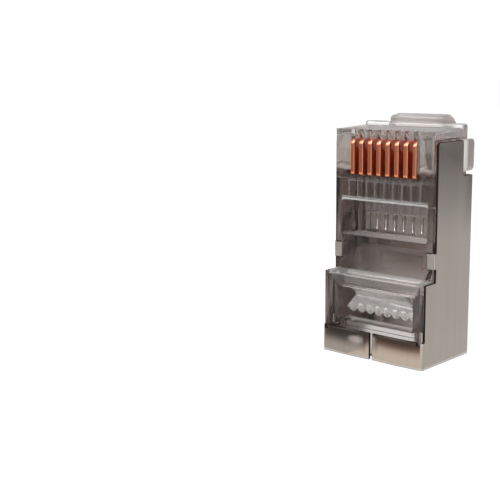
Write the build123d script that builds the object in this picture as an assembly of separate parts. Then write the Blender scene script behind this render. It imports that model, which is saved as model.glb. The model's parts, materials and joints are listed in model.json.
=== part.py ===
from build123d import *
import os

# A shielded modular plug with eight contacts, in millimetres. It stands on the rim of its cable
# entry: Z runs from the rim to the nose, X runs across the contacts, and the latch is on the +Y side.
# The origin is the middle of the rim.

# Shield, one folded sheet
shield_width = 11.7
shield_depth = 8.28
shield_height = 21.05
sheet = 0.25
fold_radius = 0.3
flap_height = 2.65
flap_seam = 0.4
nose_cutout_height = 3.4
nose_cutout_depth = 1.9
cutout_radius = 0.35
edge_radius = 0.15
rear_edge_setback = 0.35
nose_edge_setback = 2.0
relief_slot_width = 0.35
relief_slot_depth = 0.3
shield_gap = 0.03

# Ground tabs, which fold from the side walls over the nose face and into the housing
tab_bottom = 9.3
tab_height = 1.5
tab_reach = 0.95
tab_depth = 1.5
tab_fold_radius = 0.38
tab_proud = 0.02

# Housing, outside
rim_recess = 0.3
shoulder_height = 8.05
shoulder_ramp = 0.3
nose_thickness = 6.58
nose_back_setback = 0.94
neck_below_wall = 0.35
contact_field_step = 0.1
contact_field_margin = 0.36
lip_gap = 0.05
lip_height = 0.85
lip_proud = 0.13
lip_radius = 0.3
lip_end_radius = 0.25
nose_rise = 0.15
cap_height = 0.55
cap_depth = 0.85
edge_break = 0.12
body_corner_radius = 0.35
pillar_inset = 0.15
pillar_width = 1.6
pillar_above_wall = 0.4
pillar_below_lip = 0.05
pillar_proud = 0.22
pillar_root = 0.5
pillar_radius = 0.5

# Cable cavity, tapering to the wire chamber
cable_side_wall = 1.17
cable_front_wall = 1.9
cable_back_wall = 0.77
cable_corner_radius = 0.6
cable_front_taper = 2.8
cable_back_taper = 1.5
chamber_length = 3.95
chamber_side_gap = 0.07
chamber_end_gap = 0.15

# Contacts, their comb slots and the wire channels
contact_count = 8
contact_pitch = 1.02
blade_thickness = 0.35
blade_gap = 0.03
blade_below_lip = 0.1
blade_height = 3.44
blade_proud = 0.14
blade_nose_radius = 0.5
blade_heel_radius = 0.3
blade_corner_radius = 0.15
tine_length = 0.9
tine_base = 0.85
tine_tip = 0.14
tine_spacing = 1.7
slot_end_gap = 0.08
slot_mouth_depth = 1.05
slot_mouth_slope = 0.3
wire_depth = 3.74
channel_rib = 0.14
channel_height = 1.06
channel_roundness = 0.96
channel_past_blade = 0.15

# Transverse recess, and the bar in its floor that is pressed onto the conductors
recess_side_wall = 0.62
recess_below_blades = 2.48
recess_height = 3.43
recess_depth = 2.79
recess_radius = 0.25
conductor_bar_above_recess = 0.22
conductor_bar_height = 1.73
conductor_bar_inset = 0.05
conductor_bar_gap = 0.03
conductor_groove_radius = 0.45
conductor_groove_depth = 0.22

# Window, and the strain relief bar in it that swings into the cable cavity
window_side_wall = 1.17
window_above_flap = 0.65
window_height = 3.55
window_frame = 0.4
window_frame_depth = 0.2
window_lip_drop = 0.43
window_lip_depth = 0.93
relief_hinge_depth = 1.11
relief_hinge_drop = 0.25
relief_bead_radius = 0.28
relief_swing_room = 0.15
relief_bar_side_gap = 0.2
relief_bar_end_gap = 1.0
relief_bar_taper = 1.1
relief_bar_front = 1.44
relief_bar_back = 2.08
relief_ridge_depth = 1.61
relief_ridge_drop = 1.1
relief_knuckle_drop = 1.2
relief_tooth_radius = 0.38
relief_tooth_overhang = 0.34
relief_tooth_length = 1.0
relief_tooth_point = 0.22
hinge_gap = 0.03

# Latch, and the root block that carries it round the nose
latch_width = 6.2
latch_tail_width = 3.2
latch_tip_width = 3.5
latch_hinge_below_nose = 1.55
latch_hinge_proud = 0.89
latch_bead_radius = 0.28
latch_shoulder_drop = 5.2
latch_shoulder_splay = 1.75
latch_shoulder_thickness = 1.32
latch_tail_splay = 2.03
latch_tail_thickness = 1.3
latch_kink_drop = 10.9
latch_kink_splay = 3.31
latch_kink_thickness = 0.93
latch_tip_drop = 14.2
latch_tip_splay = 4.44
latch_tip_thickness = 0.7
latch_curve = ((0.63, 0.09), (0.36, 0.34))
latch_tail_bend = 0.3
latch_tail_root = 0.1
latch_tip_bend_height = 0.6
latch_tip_bend_back = 0.2
latch_tip_bend_radius = 0.5
root_depth = 2.2
root_rise = 1.35
root_front_drop = 0.3
root_back_drop = 1.0
root_crest_setback = 0.9
root_embed = 0.5
root_end_radius = 0.6
root_edge_radius = 0.3
root_crest_radius = 0.5
root_inner_radius = 0.6

# Planes across the body that follow
past = 1.0
front = -shield_depth / 2
back = shield_depth / 2
shield_half = shield_width / 2
body_half = shield_half - sheet - shield_gap
body_front = front + sheet + shield_gap
body_back = back - sheet - shield_gap
nose_face = back - nose_thickness
nose_back = back - nose_back_setback
comb_half = contact_count * contact_pitch / 2
wire_roof = nose_face + wire_depth
wire_floor = wire_roof + channel_height
cable_half = body_half - cable_side_wall
cable_front = body_front + cable_front_wall
cable_back = body_back - cable_back_wall
recess_half = body_half - recess_side_wall
recess_floor = nose_face + recess_depth
conductor_bar_half = comb_half - conductor_bar_inset
window_half = body_half - window_side_wall
cavity_corner = cable_front + cable_corner_radius
relief_half = window_half - relief_bar_side_gap
relief_hinge_y = body_front + relief_hinge_depth
relief_tooth_y = body_front + (relief_bar_front + relief_bar_back) / 2
latch_hinge_y = back + latch_hinge_proud
latch_outer = latch_hinge_y + latch_bead_radius
latch_inner = latch_hinge_y - latch_bead_radius
contact_places = [(i - (contact_count - 1) / 2) * contact_pitch for i in range(contact_count)]

# Heights that follow: from the nose down, then from the rim up
lip_bottom = shield_height + lip_gap
nose_height = lip_bottom + lip_height
back_wall_height = shield_height - nose_cutout_height
blade_top = lip_bottom - blade_below_lip
blade_bottom = blade_top - blade_height
recess_top = blade_bottom - recess_below_blades
recess_bottom = recess_top - recess_height
conductor_bar_bottom = recess_bottom + conductor_bar_above_recess
conductor_bar_top = conductor_bar_bottom + conductor_bar_height
chamber_top = conductor_bar_top + chamber_end_gap
chamber_start = chamber_top - chamber_length
latch_hinge_height = nose_height - latch_hinge_below_nose
latch_shoulder_height = latch_hinge_height - latch_shoulder_drop
latch_kink_height = latch_hinge_height - latch_kink_drop
latch_tip_height = latch_hinge_height - latch_tip_drop
window_sill = flap_height + window_above_flap
window_top = window_sill + window_height
relief_hinge_height = window_top - relief_hinge_drop
relief_bar_bottom = window_sill + relief_bar_end_gap


def outline(*corners):
    """A closed face through corners (a, b), with a third number where a corner is rounded."""
    points = [corner[:2] for corner in corners]
    radii = [corner[2] if len(corner) > 2 else 0 for corner in corners]
    return make_face(FilletPolyline(*points, radius=radii, close=True))


def across(face, half_width):
    """The solid that a side outline, drawn as (y, z), makes on both sides of the middle plane."""
    return extrude(Plane.YZ * face, half_width, both=True)


def upright(face, bottom, top):
    """The solid that a plan, drawn as (x, y), makes between two heights."""
    return extrude(Pos(0, 0, bottom) * face, top - bottom)


def block(x_from, x_to, y_from, y_to, z_from, z_to):
    box = Box(x_to - x_from, y_to - y_from, z_to - z_from, align=(Align.MIN,) * 3)
    return Pos(x_from, y_from, z_from) * box


def rod(y, z, radius, half_width):
    """A round bar along X."""
    return across(Pos(y, z) * Circle(radius), half_width)


def both_sides(solid):
    return solid + mirror(solid, Plane.YZ)


def sleeve_plan(inset):
    """The folded sheet's plan, inset from its outer face."""
    half = shield_half - inset
    near, far = front + inset, back - inset
    radius = fold_radius - inset
    return outline((-half, near, radius), (half, near, radius), (half, far, radius), (-half, far, radius))


def ground_tab():
    """One tab: over the nose face, then turned into the housing."""
    outer = nose_face - tab_proud
    inner = outer + sheet
    inside_radius = tab_fold_radius - sheet
    turned = shield_half - tab_reach
    root = nose_face + tab_fold_radius + sheet
    plan = outline(
        (shield_half, root),
        (shield_half, outer, tab_fold_radius),
        (turned, outer, tab_fold_radius),
        (turned, outer + tab_depth),
        (turned + sheet, outer + tab_depth),
        (turned + sheet, inner, inside_radius),
        (shield_half - sheet, inner, inside_radius),
        (shield_half - sheet, root),
    )
    return upright(plan, tab_bottom, tab_bottom + tab_height)


def shield():
    sleeve = upright(sleeve_plan(0) - sleeve_plan(sheet), 0, shield_height)
    side = outline(
        (front, 0),
        (back, 0),
        (back, back_wall_height),
        (back - nose_cutout_depth, back_wall_height, cutout_radius),
        (back - nose_cutout_depth, shield_height, cutout_radius),
        (front + nose_edge_setback, shield_height, cutout_radius),
        (front + nose_edge_setback, shoulder_height, edge_radius),
        (front + rear_edge_setback, shoulder_height, edge_radius),
        (front + rear_edge_setback, flap_height),
        (front, flap_height),
    )
    folded = sleeve & across(side, shield_half)
    seam_half = flap_seam / 2
    folded -= block(-seam_half, seam_half, front - past, front + past, -past, flap_height + past)
    slot_outer = shield_half - fold_radius
    slot_bottom = flap_height - relief_slot_depth
    bend_relief = block(
        slot_outer - relief_slot_width, slot_outer, front - past, front + 2 * sheet, slot_bottom, flap_height
    )
    return folded - both_sides(bend_relief) + both_sides(ground_tab())


def housing_body():
    """The moulding's outside, without its openings."""
    neck = back_wall_height - neck_below_wall
    field = blade_bottom - contact_field_margin
    side = outline(
        (body_front, rim_recess),
        (body_back, rim_recess),
        (body_back, neck),
        (nose_back, neck),
        (nose_back, nose_height),
        (nose_face, nose_height),
        (nose_face, field),
        (nose_face + contact_field_step, field),
        (nose_face + contact_field_step, shoulder_height + shoulder_ramp / 2),
        (body_front, shoulder_height - shoulder_ramp / 2, edge_radius),
    )
    plan = outline(
        (-body_half, body_front, body_corner_radius),
        (body_half, body_front, body_corner_radius),
        (body_half, body_back, body_corner_radius),
        (-body_half, body_back, body_corner_radius),
    )
    body = across(side, body_half) & upright(plan, 0, nose_height)
    return body + nose_lip() + both_sides(pillar())


def nose_lip():
    """The lip above the shield, with the raised cap along its latch side."""
    cap_top = nose_height + cap_height
    face = outline(
        (nose_face, lip_bottom, edge_break),
        (nose_back, lip_bottom),
        (nose_back, cap_top, lip_radius),
        (nose_back - cap_depth, cap_top, lip_radius),
        (nose_back - cap_depth, nose_height + nose_rise),
        (nose_face, nose_height, lip_radius),
    )
    lip = across(face, body_half + lip_proud)
    return fillet(lip.faces().filter_by(Axis.X).edges().filter_by(above_lip_bottom), lip_end_radius)


def above_lip_bottom(edge):
    return edge.center().Z > lip_bottom + edge_break


def pillar():
    """A rounded shoulder beside the latch, standing in the shield's cut-out."""
    bottom = back_wall_height + pillar_above_wall
    top = lip_bottom - pillar_below_lip
    face = outline(
        (nose_back - pillar_root, bottom),
        (back + pillar_proud, bottom, pillar_radius),
        (back + pillar_proud, top, pillar_radius),
        (nose_back - pillar_root, top),
    )
    centre = shield_half - pillar_inset - pillar_width / 2
    return Pos(centre) * across(face, pillar_width / 2)


def cable_space():
    """Where the cable's jacket goes, tapering to the row of wires."""
    front_taper_start = chamber_start - cable_front_taper
    side = outline(
        (cable_front, -past),
        (cable_back, -past),
        (cable_back, chamber_start - cable_back_taper),
        (wire_floor, chamber_start),
        (wire_floor, chamber_top),
        (wire_roof, chamber_top),
        (wire_roof, front_taper_start + wire_roof - cable_front),
        (cable_front, front_taper_start),
    )
    plan = Pos(0, (cable_front + cable_back) / 2) * RectangleRounded(
        2 * cable_half, cable_back - cable_front, cable_corner_radius
    )
    jacket = across(side, cable_half) & upright(plan, -past, chamber_start)
    wires = across(side, comb_half + chamber_side_gap) & block(
        -shield_half, shield_half, front, back, chamber_start, chamber_top
    )
    return jacket + wires


def wire_channel(x):
    width = contact_pitch - channel_rib
    radius = channel_roundness * min(width, channel_height) / 2
    plan = Pos(x, (wire_roof + wire_floor) / 2) * RectangleRounded(width, channel_height, radius)
    return upright(plan, chamber_top, blade_top + channel_past_blade)


def contact_slot(x):
    """A comb slot: down to the wire channel at the blade, and shallower out through the nose."""
    slot_bottom = blade_bottom - slot_end_gap
    slot_top = blade_top + slot_end_gap
    slot_floor = (wire_roof + wire_floor) / 2
    mouth = nose_face + slot_mouth_depth
    face = outline(
        (nose_face - past, slot_bottom),
        (slot_floor, slot_bottom),
        (slot_floor, slot_top),
        (mouth, slot_top),
        (mouth - slot_mouth_slope, nose_height + past),
        (nose_face - past, nose_height + past),
    )
    return Pos(x) * across(face, blade_thickness / 2 + blade_gap)


def recess_space():
    """The transverse recess, and the pocket for the conductor bar in its floor."""
    plan = Pos(0, recess_bottom + recess_height / 2) * RectangleRounded(
        2 * recess_half, recess_height, recess_radius
    )
    recess = Pos(0, recess_floor) * extrude(Plane.XZ * plan, recess_depth + past)
    pocket_half = conductor_bar_half + conductor_bar_gap
    pocket = block(
        -pocket_half,
        pocket_half,
        recess_floor - past,
        wire_floor - channel_height / 2,
        conductor_bar_bottom - conductor_bar_gap,
        conductor_bar_top + conductor_bar_gap,
    )
    return recess + pocket


def tab_pocket():
    """Room for a ground tab on the nose face, and the slot that takes its turned end."""
    turned = shield_half - tab_reach
    outer = nose_face - tab_proud
    low, high = tab_bottom - shield_gap, tab_bottom + tab_height + shield_gap
    edge = turned - shield_gap
    under_tab = block(edge, shield_half, outer - past, outer + sheet + shield_gap, low, high)
    slot = block(
        edge, turned + sheet + shield_gap, outer - past, outer + tab_depth + shield_gap, low, high
    )
    fold_room = nose_face + tab_fold_radius + sheet
    beside = block(body_half - tab_fold_radius, shield_half, outer - past, fold_room, low, high)
    bend_end = turned + tab_fold_radius + shield_gap
    bend_room = block(edge, bend_end, outer - past, outer + tab_fold_radius + shield_gap, low, high)
    return under_tab + slot + beside + bend_room


def window_space():
    """The window under its front lip, its shallow frame, and the seat of the strain relief bar's hinge."""
    lip = window_top - window_lip_drop
    side = outline(
        (front - past, window_sill),
        (cavity_corner, window_sill),
        (cavity_corner, relief_hinge_height + relief_swing_room),
        (relief_hinge_y, relief_hinge_height + relief_swing_room),
        (relief_hinge_y, lip),
        (body_front + window_lip_depth, lip),
        (body_front + window_frame_depth, window_top),
        (front - past, window_top),
    )
    frame = block(
        -window_half - window_frame,
        window_half + window_frame,
        front - past,
        body_front + window_frame_depth,
        window_sill - window_frame,
        window_top + window_frame,
    )
    seat = rod(relief_hinge_y, relief_hinge_height, relief_bead_radius + hinge_gap, window_half)
    return across(side, window_half) + frame + seat


def latch_root():
    """The block on the nose, wrapped over its latch side down to the flexing line."""
    top = nose_height + root_rise
    under = nose_height - root_embed
    face = outline(
        (latch_outer - root_depth, lip_bottom),
        (latch_outer - root_depth, top - root_front_drop, root_edge_radius),
        (latch_outer - root_crest_setback, top, root_crest_radius),
        (latch_outer, top - root_back_drop, root_crest_radius),
        (latch_outer, latch_hinge_height),
        (latch_inner, latch_hinge_height),
        (latch_inner, under, root_inner_radius),
        (nose_back - pillar_root, under),
    )
    half = latch_width / 2
    ends = outline(
        (-half, latch_hinge_height), (half, latch_hinge_height), (half, top, root_end_radius), (-half, top, root_end_radius)
    )
    root = across(face, half) & extrude(Plane.XZ * ends, shield_depth, both=True)
    return root - rod(latch_hinge_y, latch_hinge_height, latch_bead_radius + hinge_gap, latch_width)


def housing():
    moulding = housing_body() + latch_root()
    moulding -= cable_space()
    for x in contact_places:
        moulding -= wire_channel(x)
        moulding -= contact_slot(x)
    moulding -= recess_space()
    moulding -= both_sides(tab_pocket())
    return moulding - window_space()


def latch():
    """The lever: a wide arm with a catch shoulder, then a narrower tail with a steeper tip."""
    arm_length = latch_hinge_height - latch_shoulder_height
    shoulder_outer = latch_outer + latch_shoulder_splay
    curve = [
        (latch_outer + across_share * latch_shoulder_splay, latch_shoulder_height + up_share * arm_length)
        for up_share, across_share in latch_curve
    ]
    with BuildSketch(Plane.YZ) as arm:
        with BuildLine():
            top = Spline(
                (latch_outer, latch_hinge_height),
                *curve,
                (shoulder_outer, latch_shoulder_height),
                tangents=[(0, -1), (1, -1)],
            )
            under = Line(top @ 1, (shoulder_outer - latch_shoulder_thickness, latch_shoulder_height))
            Polyline(under @ 1, (latch_inner, latch_hinge_height), top @ 0)
        make_face()
    solid = extrude(arm.sketch, latch_width / 2, both=True)
    solid += rod(latch_hinge_y, latch_hinge_height, latch_bead_radius, latch_width / 2)
    tail_outer = latch_outer + latch_tail_splay
    tail_inner = tail_outer - latch_tail_thickness
    kink_outer = latch_outer + latch_kink_splay
    tip_outer = latch_outer + latch_tip_splay
    overlap = latch_shoulder_thickness / 2
    tail = outline(
        (tail_outer - overlap, latch_shoulder_height + overlap),
        (tail_outer, latch_shoulder_height - latch_tail_bend, latch_tail_bend),
        (kink_outer, latch_kink_height),
        (kink_outer - latch_kink_thickness, latch_kink_height),
        (tail_inner, latch_shoulder_height - latch_tail_bend),
        (tail_inner - latch_tail_root, latch_shoulder_height + overlap),
    )
    tip = outline(
        (kink_outer, latch_kink_height),
        (tip_outer - latch_tip_bend_back, latch_tip_height + latch_tip_bend_height, latch_tip_bend_radius),
        (tip_outer, latch_tip_height, edge_break),
        (tip_outer - latch_tip_thickness, latch_tip_height, edge_break),
        (kink_outer - latch_kink_thickness, latch_kink_height),
    )
    return solid + across(tail, latch_tail_width / 2) + across(tip, latch_tip_width / 2)


def strain_relief_bar():
    """A bar hanging from a round hinge, narrower at its ridge, with blunt round teeth along its free edge."""
    bar_front = body_front + relief_bar_front
    bar_back = body_front + relief_bar_back
    ridge_half = relief_half - relief_bar_taper
    ridge_height = relief_hinge_height - relief_ridge_drop + relief_hinge_drop
    side = outline(
        (relief_hinge_y, relief_hinge_height),
        (body_front + window_lip_depth, window_top - window_lip_drop),
        (body_front + relief_ridge_depth, ridge_height),
        (bar_front, relief_bar_bottom, edge_break),
        (bar_back, relief_bar_bottom, edge_break),
        (bar_back, relief_hinge_height - relief_knuckle_drop),
        (relief_hinge_y + relief_bead_radius, relief_hinge_height),
    )
    face = outline(
        (-relief_half, relief_bar_bottom),
        (relief_half, relief_bar_bottom),
        (ridge_half, ridge_height),
        (ridge_half, window_top),
        (-ridge_half, window_top),
        (-ridge_half, ridge_height),
    )
    bar = across(side, relief_half) & extrude(Plane.XZ * face, shield_depth, both=True)
    bar += rod(relief_hinge_y, relief_hinge_height, relief_bead_radius, ridge_half)
    bottom = relief_bar_bottom - relief_tooth_overhang
    for x in contact_places:
        tooth = extrude(Pos(x, relief_tooth_y, bottom) * Circle(relief_tooth_radius), relief_tooth_length)
        bar += chamfer(tooth.edges().filter_by(GeomType.CIRCLE), relief_tooth_point)
    return bar


def conductor_bar():
    """A flat bar with a shallow groove over each conductor."""
    half = conductor_bar_half
    bar = block(-half, half, recess_floor, wire_roof, conductor_bar_bottom, conductor_bar_top)
    groove_y = wire_roof - conductor_groove_depth + conductor_groove_radius
    for x in contact_places:
        groove = Pos(x, groove_y) * Circle(conductor_groove_radius)
        bar -= upright(groove, conductor_bar_bottom, conductor_bar_top)
    return bar


def contact(x):
    """A stamped blade with two piercing tines."""
    edge = nose_face - blade_proud
    tip = wire_roof
    shoulder = tip - tine_length
    middle = (blade_bottom + blade_top) / 2
    corners = [
        (edge, blade_bottom, blade_heel_radius),
        (edge, blade_top, blade_nose_radius),
        (shoulder, blade_top, blade_corner_radius),
    ]
    for centre in (middle + tine_spacing / 2, middle - tine_spacing / 2):
        corners += [
            (shoulder, centre + tine_base / 2),
            (tip, centre + tine_tip / 2),
            (tip, centre - tine_tip / 2),
            (shoulder, centre - tine_base / 2),
        ]
    corners.append((shoulder, blade_bottom, blade_corner_radius))
    return Pos(x) * across(outline(*corners), blade_thickness / 2)


pieces = {
    "housing": housing(),
    "shield": shield(),
    "latch": latch(),
    "strain_relief_bar": strain_relief_bar(),
    "conductor_bar": conductor_bar(),
}
for number, place in enumerate(contact_places, start=1):
    pieces[f"contact_{number}"] = contact(place)

os.makedirs("parts", exist_ok=True)
for name, solid in pieces.items():
    export_step(solid, f"parts/{name}.step")
    print(f"{name}: {len(solid.solids())} solid, {solid.volume:.2f} mm3")
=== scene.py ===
import json
import math

import bmesh
import bpy
from mathutils import Matrix, Vector

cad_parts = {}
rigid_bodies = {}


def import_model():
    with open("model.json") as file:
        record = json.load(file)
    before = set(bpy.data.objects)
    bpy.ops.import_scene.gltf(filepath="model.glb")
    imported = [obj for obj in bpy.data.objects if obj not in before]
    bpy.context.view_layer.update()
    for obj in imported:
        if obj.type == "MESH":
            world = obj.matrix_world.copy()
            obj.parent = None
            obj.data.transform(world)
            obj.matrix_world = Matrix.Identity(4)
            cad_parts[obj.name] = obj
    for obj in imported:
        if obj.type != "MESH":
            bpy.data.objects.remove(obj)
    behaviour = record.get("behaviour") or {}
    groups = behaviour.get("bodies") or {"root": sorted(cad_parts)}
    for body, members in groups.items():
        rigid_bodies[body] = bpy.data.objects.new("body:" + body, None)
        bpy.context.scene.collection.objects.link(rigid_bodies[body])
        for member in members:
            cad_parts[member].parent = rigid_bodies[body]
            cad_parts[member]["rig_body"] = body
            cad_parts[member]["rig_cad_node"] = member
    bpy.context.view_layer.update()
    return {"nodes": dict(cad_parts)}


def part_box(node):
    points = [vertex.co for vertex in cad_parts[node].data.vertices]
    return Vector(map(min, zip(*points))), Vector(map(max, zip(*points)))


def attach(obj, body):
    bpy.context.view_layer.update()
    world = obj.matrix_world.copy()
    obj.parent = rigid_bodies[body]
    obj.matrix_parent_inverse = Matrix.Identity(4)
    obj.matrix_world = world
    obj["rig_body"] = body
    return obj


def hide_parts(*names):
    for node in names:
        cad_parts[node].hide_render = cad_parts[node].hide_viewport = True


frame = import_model()
mm = 0.001  # every piece is shaped in millimetres and brought to metres when it is finished
touch = 0.01  # millimetres: two places this close are the same place
weld = 0.0005  # millimetres: corners this close become one
straight = 0.99  # the share of an edge's length that runs along its axis
facing = 0.9  # the share of a face's normal that points along its axis
flatAngle = math.radians(1)  # triangles that meet at less than this are one face
sharpAngle = math.radians(30)  # edges sharper than this are broken
smoothAngle = math.radians(35)  # edges flatter than this are shaded smooth


def say(stage):
    print("plug scene:", stage)


# Helpers round the operators

def pickOnly(piece):
    bpy.ops.object.select_all(action="DESELECT")
    piece.select_set(True)
    bpy.context.view_layer.objects.active = piece


def editMode(piece):
    pickOnly(piece)
    bpy.ops.object.mode_set(mode="EDIT")


def objectMode():
    bpy.ops.object.mode_set(mode="OBJECT")


def pick(piece, kind, test):  # in edit mode: kind is VERT, EDGE or FACE, and test gets each one's middle
    bpy.ops.mesh.select_mode(type=kind)
    bpy.ops.mesh.select_all(action="DESELECT")
    work = bmesh.from_edit_mesh(piece.data)
    for item in {"VERT": work.verts, "EDGE": work.edges, "FACE": work.faces}[kind]:
        corners = [item] if kind == "VERT" else item.verts
        middle = sum((corner.co for corner in corners), Vector()) / len(corners)
        if test(middle, item):
            item.select_set(True)
    work.select_flush_mode()
    bmesh.update_edit_mesh(piece.data)


def cut(axis, *places):  # in edit mode: whole-piece cuts square to an axis
    normal = [0, 0, 0]
    normal["xyz".index(axis)] = 1
    for place in places:
        bpy.ops.mesh.select_all(action="SELECT")
        bpy.ops.mesh.bisect(plane_co=[place * n for n in normal], plane_no=normal)


def removeFaces(piece, test):
    pick(piece, "FACE", test)
    bpy.ops.mesh.delete(type="FACE")


def alongAxis(edge, axis):
    step = edge.verts[1].co - edge.verts[0].co
    return abs(step["xyz".index(axis)]) > straight * step.length


def near(a, b, reach=touch):
    return abs(a - b) < reach


def addBox(name, low, high):
    bpy.ops.object.select_all(action="DESELECT")
    low, high = Vector(low), Vector(high)
    bpy.ops.mesh.primitive_cube_add(size=1, location=(low + high) / 2, scale=high - low)
    bpy.ops.object.transform_apply(location=True, rotation=True, scale=True)
    piece = bpy.context.active_object
    piece.name = name
    return piece


def applyModifiers(piece):
    pickOnly(piece)
    for modifier in list(piece.modifiers):
        bpy.ops.object.modifier_apply(modifier=modifier.name)


def breakEdges(piece, width, segments=2, slot=-1):  # a slot gives the broken edges a material of their own
    bevel = piece.modifiers.new("edge break", "BEVEL")
    bevel.width = width
    bevel.segments = segments
    bevel.limit_method = "ANGLE"
    bevel.angle_limit = sharpAngle
    bevel.material = slot
    bevel.use_clamp_overlap = slot < 0  # edges with their own material keep their full width
    applyModifiers(piece)


def boxOf(node):
    low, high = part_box(node)
    return low / mm, high / mm


# A copy of a node from the frame, its triangles joined into faces that end at the cuts
def mergedCopy(node, name, **cuts):
    pickOnly(frame["nodes"][node])
    bpy.ops.object.duplicate()
    piece = bpy.context.active_object
    piece.name = name
    piece.parent = None
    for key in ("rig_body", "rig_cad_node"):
        del piece[key]
    piece.scale = [1 / mm] * 3
    bpy.ops.object.transform_apply(location=True, rotation=True, scale=True)
    editMode(piece)
    bpy.ops.mesh.select_all(action="SELECT")
    bpy.ops.mesh.remove_doubles(threshold=weld)
    for axis, places in cuts.items():
        for place in places:
            cut(axis, place)
            bpy.ops.mesh.mark_seam()
    bpy.ops.mesh.select_all(action="SELECT")
    bpy.ops.mesh.dissolve_limited(angle_limit=flatAngle, delimit={"SEAM"})
    objectMode()
    return piece


def finish(piece, materials, body, slot, *nodes):
    pickOnly(piece)
    piece.scale = [mm] * 3
    bpy.ops.object.transform_apply(location=True, rotation=True, scale=True)
    bpy.ops.object.shade_smooth_by_angle(angle=smoothAngle)
    kept = [face.material_index for face in piece.data.polygons]
    piece.data.materials.clear()
    for material in materials:
        piece.data.materials.append(material)
    piece.data.polygons.foreach_set("material_index", kept)
    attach(piece, body)
    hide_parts(*nodes)


# Helpers round the shader nodes

def newMaterial(name):
    material = bpy.data.materials.new(name)
    material.use_nodes = True
    return material, material.node_tree.nodes, material.node_tree.links


def coordinate(nodes, links, space, axis):
    coords = nodes.new("ShaderNodeTexCoord")
    split = nodes.new("ShaderNodeSeparateXYZ")
    links.new(coords.outputs[space], split.inputs[0])
    return split.outputs[axis]


def addMath(nodes, links, operation, *inputs):  # each input is a socket or a plain number
    node = nodes.new("ShaderNodeMath")
    node.operation = operation
    for socket, value in zip(node.inputs, inputs):
        if isinstance(value, bpy.types.NodeSocket):
            links.new(value, socket)
        else:
            socket.default_value = value
    return node.outputs[0]


def addRamp(nodes, links, value, stops):  # a colour that follows a value from stop to stop
    ramp = nodes.new("ShaderNodeValToRGB")
    while len(ramp.color_ramp.elements) < len(stops):
        ramp.color_ramp.elements.new(0.5)
    for element, (where, colour) in zip(ramp.color_ramp.elements, stops):
        element.position = where
        element.color = (*colour, 1)
    links.new(value, ramp.inputs[0])
    return ramp.outputs[0]


def addMix(nodes, links, share, first, second):  # at a share of 1 only the second shader is left
    mix = nodes.new("ShaderNodeMixShader")
    for socket, source in zip(mix.inputs, (share, first.outputs[0], second.outputs[0])):
        links.new(source, socket)
    return mix.outputs[0]


# Camera: the photograph's own view, in a square frame

photoView = {
    "place": (55.73 * mm, -81.83 * mm, 28.16 * mm),
    "turn": 42.57,
    "tilt": 10.32,
    "roll": -0.51,
    "lens": 73.44,
    "sensor": 36.0,
    "nearest": 1 * mm,
    "farthest": 10,  # metres
}


def makeCamera():
    bpy.ops.object.select_all(action="DESELECT")
    bpy.ops.object.camera_add()
    camera = bpy.context.active_object
    camera.name = "photoCamera"
    camera.data.lens = photoView["lens"]
    camera.data.sensor_width = photoView["sensor"]
    camera.data.clip_start = photoView["nearest"]
    camera.data.clip_end = photoView["farthest"]
    turn = Matrix.Rotation(math.radians(photoView["turn"]), 4, "Z")
    tilt = Matrix.Rotation(math.radians(90 - photoView["tilt"]), 4, "X")
    roll = Matrix.Rotation(math.radians(photoView["roll"]), 4, "Z")
    camera.matrix_world = Matrix.Translation(photoView["place"]) @ turn @ tilt @ roll
    bpy.context.scene.camera = camera


# Studio: white paper, two softboxes, and cards that only reflections see

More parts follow.
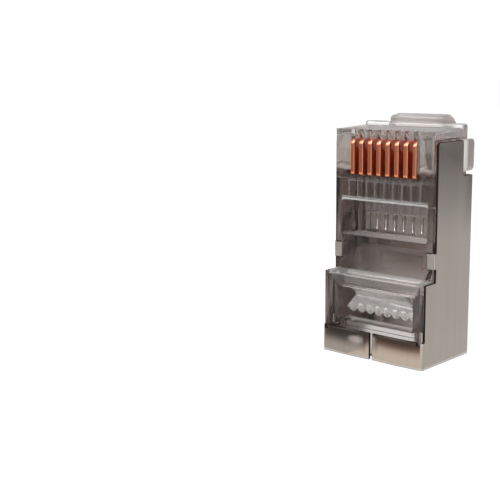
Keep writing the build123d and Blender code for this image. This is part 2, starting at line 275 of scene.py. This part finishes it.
studio = {
    "ceiling": ((0.38, (1, 1, 1)), (0.62, (0.30, 0.29, 0.29))),  # by height: white walls, a darker ceiling
    "worldLight": 0.7,
    "floorSize": 3.0,
    "paper": (0.9, 0.9, 0.9),
    "paperRoughness": 0.8,
    "floorShadow": 0.10,  # how much of the floor's own shading the white lets through
    "floorGlow": 1.04,  # makes up for that share, so that the paper meets the walls without a line
    "lampAim": (0, 0, 10 * mm),
}
softboxes = {  # in metres
    "keySoftbox": {"place": (-0.10, -0.22, 0.30), "size": 0.30, "watts": 1.2},
    "topSoftbox": {"place": (0.12, 0.10, 0.35), "size": 0.20, "watts": 0.8},
}
cards = {  # in millimetres, each with its colours from one edge to the other
    "sideCard": {
        "place": (13, 9, 12), "face": (-0.67, -0.72, 0), "size": (34, 24.2),
        "stops": ((0.0, (0.66, 0.64, 0.61)), (0.45, (0.62, 0.60, 0.57)), (0.62, (0.42, 0.40, 0.39)),
                  (0.80, (0.24, 0.225, 0.22)))},
    "frontCard": {
        "place": (-26, -34, 12), "face": (0.67, 0.72, 0), "size": (60, 24.2),
        "stops": ((0.0, (0.80, 0.72, 0.65)), (0.14, (0.70, 0.62, 0.56)), (0.24, (0.14, 0.11, 0.10)),
                  (0.40, (0.22, 0.18, 0.16)), (0.47, (0.09, 0.07, 0.065)))},
    "leftFlapCard": {
        "place": (-4.975, -6.5, 1.6), "face": (0, 1, 0), "size": (7.25, 3.2),
        "stops": ((0.0, (0.66, 0.60, 0.55)), (0.14, (0.42, 0.37, 0.34)), (0.28, (0.07, 0.06, 0.055)),
                  (0.52, (0.03, 0.025, 0.02)), (0.62, (0.05, 0.04, 0.035)))},
    "flapGlintCard": {
        "place": (-3.2, -6.4, 1.1), "face": (0, 1, 0), "size": (1.9, 0.75), "oval": True,
        "stops": ((0.0, (0.9, 0.85, 0.80)), (1.0, (0.9, 0.85, 0.80)))},
    "rightFlapCard": {
        "place": (1.875, -6.5, 1.6), "face": (0, 1, 0), "size": (6.45, 3.2),
        "stops": ((0.0, (1.0, 0.88, 0.78)), (0.20, (0.86, 0.70, 0.60)), (0.33, (0.14, 0.07, 0.05)),
                  (0.52, (0.07, 0.035, 0.025)), (0.62, (0.08, 0.05, 0.04)))},
    "leftTableCard": {
        "place": (-10.8, -9.4, 0.02), "face": (0, 0, 1), "size": (16, 10),
        "stops": ((0.0, (0.60, 0.55, 0.50)), (1.0, (0.80, 0.73, 0.66)))},
    "rightTableCard": {
        "place": (9.2, -9.4, 0.02), "face": (0, 0, 1), "size": (24, 10),
        "stops": ((0.0, (0.92, 0.80, 0.70)), (1.0, (1.0, 0.90, 0.80)))},
    "sideTableCard": {
        "place": (12, 5.2, 0.02), "face": (0, 0, 1), "size": (12, 19),
        "stops": ((0.0, (0.68, 0.65, 0.61)), (1.0, (0.68, 0.65, 0.61)))},
}


def seenRays(nodes, links):  # one factor for camera, glossy and transmission rays
    rays = nodes.new("ShaderNodeLightPath")
    total = rays.outputs["Is Camera Ray"]
    for name in ("Is Glossy Ray", "Is Transmission Ray"):
        total = addMath(nodes, links, "MAXIMUM", total, rays.outputs[name])
    return total


def makeWorld():
    world = bpy.data.worlds.new("studioAir")
    bpy.context.scene.world = world
    world.use_nodes = True
    nodes, links = world.node_tree.nodes, world.node_tree.links
    shown = nodes.new("ShaderNodeBackground")
    shown.inputs["Strength"].default_value = 1
    height = coordinate(nodes, links, "Generated", "Z")
    links.new(addRamp(nodes, links, height, studio["ceiling"]), shown.inputs["Color"])
    lit = nodes["Background"]
    lit.inputs["Color"].default_value = (1, 1, 1, 1)
    lit.inputs["Strength"].default_value = studio["worldLight"]
    mix = addMix(nodes, links, seenRays(nodes, links), lit, shown)
    links.new(mix, nodes["World Output"].inputs["Surface"])


def makeFloor():
    bpy.ops.object.select_all(action="DESELECT")
    bpy.ops.mesh.primitive_plane_add(size=studio["floorSize"])
    floor = bpy.context.active_object
    floor.name = "floor"
    paper, nodes, links = newMaterial("whitePaper")
    body = nodes["Principled BSDF"]
    body.inputs["Base Color"].default_value = (*studio["paper"], 1)
    body.inputs["Roughness"].default_value = studio["paperRoughness"]
    glow = nodes.new("ShaderNodeEmission")
    glow.inputs["Strength"].default_value = studio["floorGlow"]
    share = addMath(nodes, links, "MULTIPLY", seenRays(nodes, links), 1 - studio["floorShadow"])
    mix = addMix(nodes, links, share, body, glow)
    links.new(mix, nodes["Material Output"].inputs["Surface"])
    floor.data.materials.append(paper)


def addLamp(name, place, size, watts):
    bpy.ops.object.select_all(action="DESELECT")
    bpy.ops.object.light_add(type="AREA", location=place)
    lamp = bpy.context.active_object
    lamp.name = name
    lamp.data.size = size
    lamp.data.energy = watts
    aim = Vector(studio["lampAim"]) - Vector(place)
    lamp.rotation_euler = aim.to_track_quat("-Z", "Y").to_euler()


def addCard(name, place, face, size, stops, oval=False):
    bpy.ops.object.select_all(action="DESELECT")
    if oval:
        bpy.ops.mesh.primitive_circle_add(vertices=32, radius=0.5, fill_type="NGON")
    else:
        bpy.ops.mesh.primitive_plane_add(size=1)
    card = bpy.context.active_object
    card.name = name
    card.scale = (size[0] * mm, size[1] * mm, 1)
    card.rotation_euler = Vector(face).to_track_quat("Z", "Y").to_euler()
    card.location = Vector(place) * mm
    paint, nodes, links = newMaterial(name)
    nodes.remove(nodes["Principled BSDF"])
    glow = nodes.new("ShaderNodeEmission")
    fromEdge = addMath(nodes, links, "ADD", coordinate(nodes, links, "Object", "Y"), 0.5)
    links.new(addRamp(nodes, links, fromEdge, stops), glow.inputs["Color"])
    links.new(glow.outputs[0], nodes["Material Output"].inputs["Surface"])
    card.data.materials.append(paint)
    for ray in ("camera", "diffuse", "transmission", "shadow", "volume_scatter"):
        setattr(card, "visible_" + ray, False)


# Clear plastic: one tinted volume, with a grade of haze for each zone of its surface

plasticLook = {
    "surface": (0.96, 0.955, 0.95),
    "body": (0.835, 0.812, 0.801),
    "density": 900,  # per metre
    "ior": 1.58,
    "grades": {"polished": 0, "satin": 0.25, "textured": 0.5, "frosted": 0.75, "glassy": 1},
    "roughness": (0.07, 0.13, 0.30, 0.50, 0.05),
    "clear": (0.985, 0.84, 0.94, 0.70, 1.0),  # the share of light that goes through; the rest is haze
    "lampTint": (0.93, 0.925, 0.92),
    "ribPitch": 1.02 * mm,
    "ribEdge": (0.43, 0.47),  # how far from the middle between two ribs, in pitches, the haze sets in
    "ribHaze": 0.12,
}


def readAttribute(nodes, name):
    attribute = nodes.new("ShaderNodeAttribute")
    attribute.attribute_name = name
    return attribute.outputs["Fac"]


def byGrade(nodes, links, frost, values):
    places = plasticLook["grades"].values()
    stops = [(where, (value, value, value)) for where, value in zip(places, values)]
    return addRamp(nodes, links, frost, stops)


def ribLines(nodes, links):  # upright lines of haze where the ribs between the wires meet the front wall
    across = coordinate(nodes, links, "Object", "X")
    pitches = addMath(nodes, links, "MULTIPLY", across, 1 / plasticLook["ribPitch"])
    part = addMath(nodes, links, "FRACT", pitches)
    offset = addMath(nodes, links, "SUBTRACT", part, 0.5)
    edge = nodes.new("ShaderNodeMapRange")
    edge.inputs["From Min"].default_value = plasticLook["ribEdge"][0]
    edge.inputs["From Max"].default_value = plasticLook["ribEdge"][1]
    links.new(addMath(nodes, links, "ABSOLUTE", offset), edge.inputs["Value"])
    return addMath(nodes, links, "MULTIPLY", edge.outputs[0], readAttribute(nodes, "ribbed"))


def clearPlastic():
    look = plasticLook
    material, nodes, links = newMaterial("clearPolycarbonate")
    body = nodes["Principled BSDF"]
    body.inputs["Base Color"].default_value = (*look["surface"], 1)
    body.inputs["IOR"].default_value = look["ior"]
    frost = readAttribute(nodes, "frost")
    links.new(byGrade(nodes, links, frost, look["roughness"]), body.inputs["Roughness"])
    clear = byGrade(nodes, links, frost, look["clear"])
    lines = ribLines(nodes, links)
    clear = addMath(nodes, links, "MULTIPLY_ADD", lines, -look["ribHaze"], clear)
    links.new(clear, body.inputs["Transmission Weight"])
    rays = nodes.new("ShaderNodeLightPath")
    through = nodes.new("ShaderNodeBsdfTransparent")
    through.inputs["Color"].default_value = (*look["lampTint"], 1)
    mix = addMix(nodes, links, rays.outputs["Is Shadow Ray"], body, through)
    links.new(mix, nodes["Material Output"].inputs["Surface"])
    depth = nodes.new("ShaderNodeVolumeAbsorption")
    depth.inputs["Color"].default_value = (*look["body"], 1)
    depth.inputs["Density"].default_value = look["density"]
    links.new(depth.outputs[0], nodes["Material Output"].inputs["Volume"])
    return material


def frostFaces(piece, gradeOf):  # gradeOf names each face's grade from its middle and normal
    frost = piece.data.attributes.new("frost", "FLOAT", "FACE")
    for face in piece.data.polygons:
        frost.data[face.index].value = plasticLook["grades"][gradeOf(face.center, face.normal)]


# Metals: drawn nickel on the shield, copper alloy on the contacts, each with painted lit or shaded copies

nickelLook = {
    "outside": (0.52, 0.495, 0.465),
    # the inner faces: a lighter, warmer copy of the nickel, painted light on what shows through the
    # plastic
    "inside": (0.64, 0.55, 0.50),
    "roughness": 0.24,
    "grain": (2400, 2400, 45),  # per metre, so the drawing lines run up the sheet
    "grainDepth": 0.06,
    "grainDetail": 2,
    # near-black: painted shade of the gap between sheet and plastic, on the cut faces and broken edges
    "shadedCutEdge": (0.025, 0.02, 0.018),
    "cutRoughness": 0.5,
    # the tab plate: a darker, half-matte copy of the nickel, painted shade on the turned-in tabs
    "shadedTabPlate": (0.27, 0.24, 0.215),
    "tabRoughness": 0.4,
    "tabMetallic": 0.4,
}
alloyLook = {
    "edge": (0.93, 0.345, 0.19),
    # the blades' flat sides: a deeper, redder copy of the alloy, painted shade of the light bounced in the
    # narrow slots
    "side": (0.86, 0.16, 0.035),
    "roughness": 0.33,
}


def metal(name, colour, roughness, metallic=1.0):
    material, nodes = newMaterial(name)[:2]
    body = nodes["Principled BSDF"]
    body.inputs["Base Color"].default_value = (*colour, 1)
    body.inputs["Metallic"].default_value = metallic
    body.inputs["Roughness"].default_value = roughness
    return material


def drawnNickel():
    look = nickelLook
    material = metal("drawnNickel", look["outside"], look["roughness"])
    nodes, links = material.node_tree.nodes, material.node_tree.links
    coords = nodes.new("ShaderNodeTexCoord")
    stretch = nodes.new("ShaderNodeMapping")
    stretch.inputs["Scale"].default_value = look["grain"]
    noise = nodes.new("ShaderNodeTexNoise")
    noise.inputs["Scale"].default_value = 1
    noise.inputs["Detail"].default_value = look["grainDetail"]
    shade = nodes.new("ShaderNodeMix")
    shade.data_type = "RGBA"
    for socket, amount in (("A", 1 - look["grainDepth"]), ("B", 1 + look["grainDepth"])):
        shade.inputs[socket].default_value = (*[part * amount for part in look["outside"]], 1)
    links.new(coords.outputs["Object"], stretch.inputs["Vector"])
    links.new(stretch.outputs[0], noise.inputs["Vector"])
    links.new(noise.outputs[0], shade.inputs["Factor"])
    links.new(shade.outputs["Result"], nodes["Principled BSDF"].inputs["Base Color"])
    return material


def sheetFinishesAndShades():  # in the order of sheetSlots; the inner tone, cut edge and tab plate are painted light and shade
    look = nickelLook
    return [
        drawnNickel(),
        metal("litNickelInside", look["inside"], look["roughness"]),
        metal("sheetCutEdgeShade", look["shadedCutEdge"], look["cutRoughness"]),
        metal("tabPlatingShade", look["shadedTabPlate"], look["tabRoughness"], look["tabMetallic"]),
    ]


def contactFinishesAndShades():  # in the order of bladeSlots; the side copy is painted shade
    look = alloyLook
    return [
        metal("contactAlloy", look["edge"], look["roughness"]),
        metal("contactAlloyShadedSide", look["side"], look["roughness"]),
    ]


# Shield: half of the folded sheet, mirrored, then given its thickness

sheetSlots = {"outside": 0, "inside": 1, "shadedCutEdge": 2, "tab": 3}
shieldSizes = {
    "sheet": 0.25,
    "fold": 0.3,
    "foldSteps": 6,
    "flapHeight": 2.65,
    "shoulder": 8.05,
    "rearSetback": 0.35,
    "noseSetback": 2.0,
    "cutoutHeight": 3.4,
    "cutoutDepth": 1.9,
    "cutoutCorner": 0.35,
    "cornerSteps": 4,
    "seam": 0.29,
    "slotWidth": 0.35,
    "slotDepth": 0.3,
    "tabLow": 9.265,  # the tabs are a touch over their slots, so that the plastic wets them
    "tabHigh": 10.835,
    "tabReach": 0.99,
    "tabDepth": 1.54,
    "tabProud": 0.32,
    "tabFold": 0.36,
    "tabFoldSteps": 5,
    "tabMargin": 0.1,  # a face this far inside the tab's outline belongs to it
    "bulge": 0.09,
    "bulgeColumns": (0.9, 1.8, 2.9, 3.9, 4.8),
    "bulgeRows": (0.7, 1.4, 2.0),
    "bulgeEnd": 4.2,  # the height at which the bulge would be gone
    "halfWeld": 0.001,  # how close the two halves have to meet
    "edgeBreak": 0.06,
    "outline": 0.145,  # how much of the side walls' cut edge is painted dark as shade, from the outside
}


def addOtherHalf(piece):
    mirror = piece.modifiers.new("other half", "MIRROR")
    mirror.merge_threshold = shieldSizes["halfWeld"]
    applyModifiers(piece)
    editMode(piece)
    bpy.ops.mesh.select_all(action="SELECT")
    bpy.ops.mesh.remove_doubles(threshold=weld)
    bpy.ops.mesh.normals_make_consistent(inside=False)
    objectMode()


def thickenSheet(piece):
    thicken = piece.modifiers.new("sheet", "SOLIDIFY")
    thicken.thickness = shieldSizes["sheet"]
    thicken.offset = -1
    thicken.use_even_offset = True
    # the inner faces take the lighter inner tone (painted light), the rim the near-black cut edge (painted
    # shade)
    thicken.material_offset = sheetSlots["inside"]
    thicken.material_offset_rim = sheetSlots["shadedCutEdge"]
    applyModifiers(piece)


def makeShield(finishesAndShades):
    s = shieldSizes
    low, high = boxOf("shield")
    rearLine = low.y + s["rearSetback"]
    shoulderLine = low.y + s["noseSetback"]
    cutoutLine = high.y - s["cutoutDepth"]
    cutoutSill = high.z - s["cutoutHeight"]
    seamEdge = s["seam"] / 2
    slotEnd = high.x - s["fold"]
    slotStart = slotEnd - s["slotWidth"]
    slotFloor = s["flapHeight"] - s["slotDepth"]
    piece = addBox("foldedShield", (0, low.y, low.z), high)
    for material in finishesAndShades:
        piece.data.materials.append(material)
    editMode(piece)
    removeFaces(piece, lambda m, f: near(m.x, 0) or near(m.z, low.z) or near(m.z, high.z))
    pick(piece, "EDGE", lambda m, e: near(m.x, high.x) and alongAxis(e, "z"))
    bpy.ops.mesh.bevel(offset=s["fold"], segments=s["foldSteps"])
    cut("z", slotFloor, s["flapHeight"], s["shoulder"], s["tabLow"], s["tabHigh"], cutoutSill)
    cut("y", rearLine, shoulderLine, cutoutLine)
    cut("x", seamEdge, slotStart)
    removeFaces(piece, lambda m, f: m.y < rearLine and m.z > s["flapHeight"])
    removeFaces(piece, lambda m, f: m.y < shoulderLine and m.z > s["shoulder"])
    removeFaces(piece, lambda m, f: m.y > cutoutLine and m.z > cutoutSill)
    removeFaces(piece, lambda m, f: near(m.y, low.y) and m.x < seamEdge)
    removeFaces(piece, lambda m, f: near(m.y, low.y) and slotStart < m.x < slotEnd and m.z > slotFloor)

    # the ground tab: the edge over the shoulder, folded across the nose and turned in
    pick(piece, "EDGE", lambda m, e: near(m.y, shoulderLine) and s["tabLow"] < m.z < s["tabHigh"]
         and alongAxis(e, "z"))
    for step in ((0, -s["tabProud"], 0), (-s["tabReach"], 0, 0), (0, s["tabDepth"], 0)):
        bpy.ops.mesh.extrude_region_move(TRANSFORM_OT_translate={"value": step})
    tabFace = shoulderLine - s["tabProud"]
    pick(piece, "EDGE", lambda m, e: near(m.y, tabFace) and alongAxis(e, "z"))
    bpy.ops.mesh.bevel(offset=s["tabFold"], segments=s["tabFoldSteps"])

    # rounded corners in the sheet's outline
    for y, z in ((cutoutLine, cutoutSill), (cutoutLine, high.z), (shoulderLine, high.z)):
        pick(piece, "VERT", lambda m, v: near(m.y, y) and near(m.z, z) and near(m.x, high.x))
        bpy.ops.mesh.bevel(offset=s["cutoutCorner"], segments=s["cornerSteps"], affect="VERTICES")

    # the rear flap stands a little proud in its middle
    cut("x", *s["bulgeColumns"])
    cut("z", *s["bulgeRows"])
    for x in s["bulgeColumns"]:
        for z in (low.z, *s["bulgeRows"], slotFloor):
            across = x / slotStart
            share = 4 * across * (1 - across) * (1 - (z / s["bulgeEnd"]) ** 2)
            pick(piece, "VERT", lambda m, v: near(m.x, x) and near(m.y, low.y) and near(m.z, z))
            bpy.ops.transform.translate(value=(0, -s["bulge"] * share, 0))
    objectMode()
    addOtherHalf(piece)
    thickenSheet(piece)

    # the tabs take a darker copy of the plating as painted shade, and the sheet's outline the near-black
    # cut edge as painted shade
    margin = s["tabMargin"]
    for face in piece.data.polygons:
        c = face.center
        inTab = s["tabLow"] + margin < c.z < s["tabHigh"] - margin and abs(c.x) < high.x - margin
        if inTab and tabFace - margin < c.y < shoulderLine + s["tabDepth"]:
            face.material_index = sheetSlots["tab"]
    breakEdges(piece, s["edgeBreak"], slot=sheetSlots["shadedCutEdge"])
    for face in piece.data.polygons:  # but the side walls' inner edge takes the lighter inner tone, painted light
        inEdge = high.x - s["sheet"] < abs(face.center.x) < high.x - s["outline"]
        if inEdge and face.material_index == sheetSlots["shadedCutEdge"]:
            face.material_index = sheetSlots["inside"]
    finish(piece, finishesAndShades, "plug_body", "shield", "shield")


# Contacts: one blade with two tines, copied along the comb

bladeSlots = {"edge": 0, "side": 1}
bladeSizes = {
    "halfThickness": 0.235,  # a touch over the slot, so that the plastic wets the blade as a pressed one
    "tineLength": 0.9,
    "tineBase": 0.85,
    "tineTip": 0.14,
    "tineSpacing": 1.7,
    "nose": 0.5,
    "noseSteps": 6,
    "heel": 0.3,
    "heelSteps": 5,
    "edgeBreak": 0.05,
    "edgeSteps": 3,
    "count": 8,
    "dryStep": 0.06,
}


def makeBlade(finishesAndShades):
    s = bladeSizes
    low, high = boxOf("contact_1")
    middle = (low.x + high.x) / 2
    back = high.y - s["tineLength"]
    tines = [(low.z + high.z) / 2 + side * s["tineSpacing"] / 2 for side in (-1, 1)]
    piece = addBox("blade1", (middle - s["halfThickness"], low.y, low.z),
                   (middle + s["halfThickness"], back, high.z))
    editMode(piece)
    for tine in tines:
        cut("z", tine - s["tineBase"] / 2, tine + s["tineBase"] / 2)
    for tine in tines:
        pick(piece, "FACE", lambda m, f: near(m.y, back) and near(m.z, tine))
        bpy.ops.mesh.extrude_region_move(TRANSFORM_OT_translate={"value": (0, s["tineLength"], 0)})
        bpy.ops.transform.resize(value=(1, 1, s["tineTip"] / s["tineBase"]),
                                 center_override=(middle, high.y, tine))
    pick(piece, "EDGE", lambda m, e: alongAxis(e, "x") and near(m.y, low.y) and near(m.z, high.z))
    bpy.ops.mesh.bevel(offset=s["nose"], segments=s["noseSteps"])
    pick(piece, "EDGE", lambda m, e: alongAxis(e, "x") and near(m.y, low.y) and near(m.z, low.z))
    bpy.ops.mesh.bevel(offset=s["heel"], segments=s["heelSteps"])
    objectMode()
    for material in finishesAndShades:
        piece.data.materials.append(material)
    # faces along x take the deeper red copy, painted shade
    for face in piece.data.polygons:
        face.material_index = bladeSlots["side" if abs(face.normal.x) > facing else "edge"]
    breakEdges(piece, s["edgeBreak"], segments=s["edgeSteps"])
    return piece


def makeBlades(finishesAndShades):
    blades = [makeBlade(finishesAndShades)]
    firstPlace = boxOf("contact_1")[0].x
    for number in range(2, bladeSizes["count"] + 1):
        pickOnly(blades[0])
        bpy.ops.object.duplicate()
        blade = bpy.context.active_object
        blade.name = f"blade{number}"
        blade.location.x = boxOf(f"contact_{number}")[0].x - firstPlace
        bpy.ops.object.transform_apply(location=True, rotation=True, scale=True)
        blades.append(blade)
    for number, side in ((1, -1), (bladeSizes["count"], 1)):  # the comb's two outer faces stay dry
        blade = blades[number - 1]
        low, high = boxOf(f"contact_{number}")
        middle = (low.x + high.x) / 2
        editMode(blade)
        pick(blade, "VERT", lambda m, v: (m.x - middle) * side > 0)
        bpy.ops.transform.translate(value=(-side * bladeSizes["dryStep"], 0, 0))
        objectMode()
    for number, blade in enumerate(blades, start=1):
        node = f"contact_{number}"
        finish(blade, finishesAndShades, node, "contacts", node)


# Housing: the moulding from the frame, with broken edges and a grade of haze for each zone

housingSizes = {
    "edgeBreak": 0.05,
    "recess": {"x": 5.3, "under": 0.22, "height": 3.43, "reach": 0.05},  # its floor is under the bar in it
    "wall": {  # before the wires, with bands over the recess and a line under the blades
        "x": 4.25, "end": 4.95, "face": -2.44, "reach": 0.2,
        "bands": (-0.1, 0.16, 0.38), "line": (0.60, 0.52)},
    "cavity": {"x": 4.45, "front": -2.0, "back": 3.15, "top": 9.9},
    "slope": {"front": -2.6, "low": 6.9, "high": 8.8, "rise": 0.2},  # the ledge over the window
    "wing": {"front": 2.4, "low": 17.6},  # the latch's root and the blocks beside it
    "cap": 21.3,  # over this the moulding is textured on top and satin at its sides
}


def makeHousing(plastic):
    s = housingSizes
    recess, wall, cavity, slope, wing = s["recess"], s["wall"], s["cavity"], s["slope"], s["wing"]
    barLow = boxOf("conductor_bar")[0]
    floor = barLow.z - recess["under"]
    bandLow, bandMiddle, bandHigh = (floor + recess["height"] + band for band in wall["bands"])
    bladeLow = boxOf("contact_1")[0].z
    lineLow, lineHigh = (bladeLow - line for line in wall["line"])
    piece = mergedCopy("housing", "clearHousing", z=(bandMiddle, bandHigh, lineLow, lineHigh, bladeLow),
                       x=(-wall["end"], -wall["x"], wall["x"], wall["end"]))

    def inWall(c, normal, halfWidth):
        return normal.y < -facing and near(c.y, wall["face"], wall["reach"]) and abs(c.x) < halfWidth

    def gradeOf(c, normal):
        if near(c.z, floor, recess["reach"]) and abs(normal.z) > facing:
            if abs(c.x) < recess["x"] and c.y < barLow.y:
                return "satin"
        if inWall(c, normal, wall["end"]):
            if bandLow < c.z < bandMiddle:
                return "frosted"
            if bandMiddle < c.z < bandHigh:
                return "satin"
        if inWall(c, normal, wall["x"]):
            if lineLow < c.z < lineHigh:
                return "satin"
            if c.z > bladeLow:
                return "glassy"
        if abs(c.x) < cavity["x"] and cavity["front"] < c.y < cavity["back"] and c.z < cavity["top"]:
            return "textured"
        if c.y > wing["front"] and c.z > wing["low"]:
            return "textured"
        if c.z > s["cap"]:
            return "textured" if normal.z > facing else "satin"
        if c.y < slope["front"] and slope["low"] < c.z < slope["high"] and normal.z > slope["rise"]:
            return "satin"
        return "polished"

    frostFaces(piece, gradeOf)
    ribbed = piece.data.attributes.new("ribbed", "FLOAT", "FACE")
    for face in piece.data.polygons:
        lined = bandHigh < face.center.z < lineLow and inWall(face.center, face.normal, wall["x"])
        ribbed.data[face.index].value = 1 if lined else 0
    breakEdges(piece, s["edgeBreak"])
    finish(piece, [plastic], "plug_body", "clear_plastic", "housing")


# Strain relief bar: the jacket's anchor in the window

jacketBarSizes = {
    "edgeBreak": 0.04,
}


def makeJacketBar(plastic):
    piece = mergedCopy("strain_relief_bar", "jacketBar")
    frostFaces(piece, lambda c, normal: "satin")
    breakEdges(piece, jacketBarSizes["edgeBreak"])
    finish(piece, [plastic], "strain_relief_bar", "clear_plastic", "strain_relief_bar")


# Conductor bar: the strip in the recess, frosted on its top and ends

conductorBarSizes = {
    "edgeBreak": 0.06,
}


def makeConductorBar(plastic):
    piece = mergedCopy("conductor_bar", "conductorPressBar")
    high = boxOf("conductor_bar")[1]

    def gradeOf(c, normal):
        return "frosted" if near(c.z, high.z) or near(abs(c.x), high.x) else "polished"

    frostFaces(piece, gradeOf)
    breakEdges(piece, conductorBarSizes["edgeBreak"])
    finish(piece, [plastic], "conductor_bar", "clear_plastic", "conductor_bar")


# Latch: the lever from the frame, with rounder edges than the housing's

latchSizes = {
    "edgeBreak": 0.12,
    "edgeSteps": 3,
}


def makeLatch(plastic):
    piece = mergedCopy("latch", "latchLever")
    frostFaces(piece, lambda c, normal: "satin")
    breakEdges(piece, latchSizes["edgeBreak"], segments=latchSizes["edgeSteps"])
    finish(piece, [plastic], "latch", "clear_plastic", "latch")


makeCamera()
makeWorld()
makeFloor()
for name, box in softboxes.items():
    addLamp(name, **box)
for name, card in cards.items():
    addCard(name, **card)
say("camera and studio")
makeShield(sheetFinishesAndShades())
say("shield")
makeBlades(contactFinishesAndShades())
say("contacts")
plastic = clearPlastic()
makeHousing(plastic)
say("housing")
makeJacketBar(plastic)
makeConductorBar(plastic)
say("bars")
makeLatch(plastic)
say("latch")

bpy.context.scene.view_settings.view_transform = "Standard"
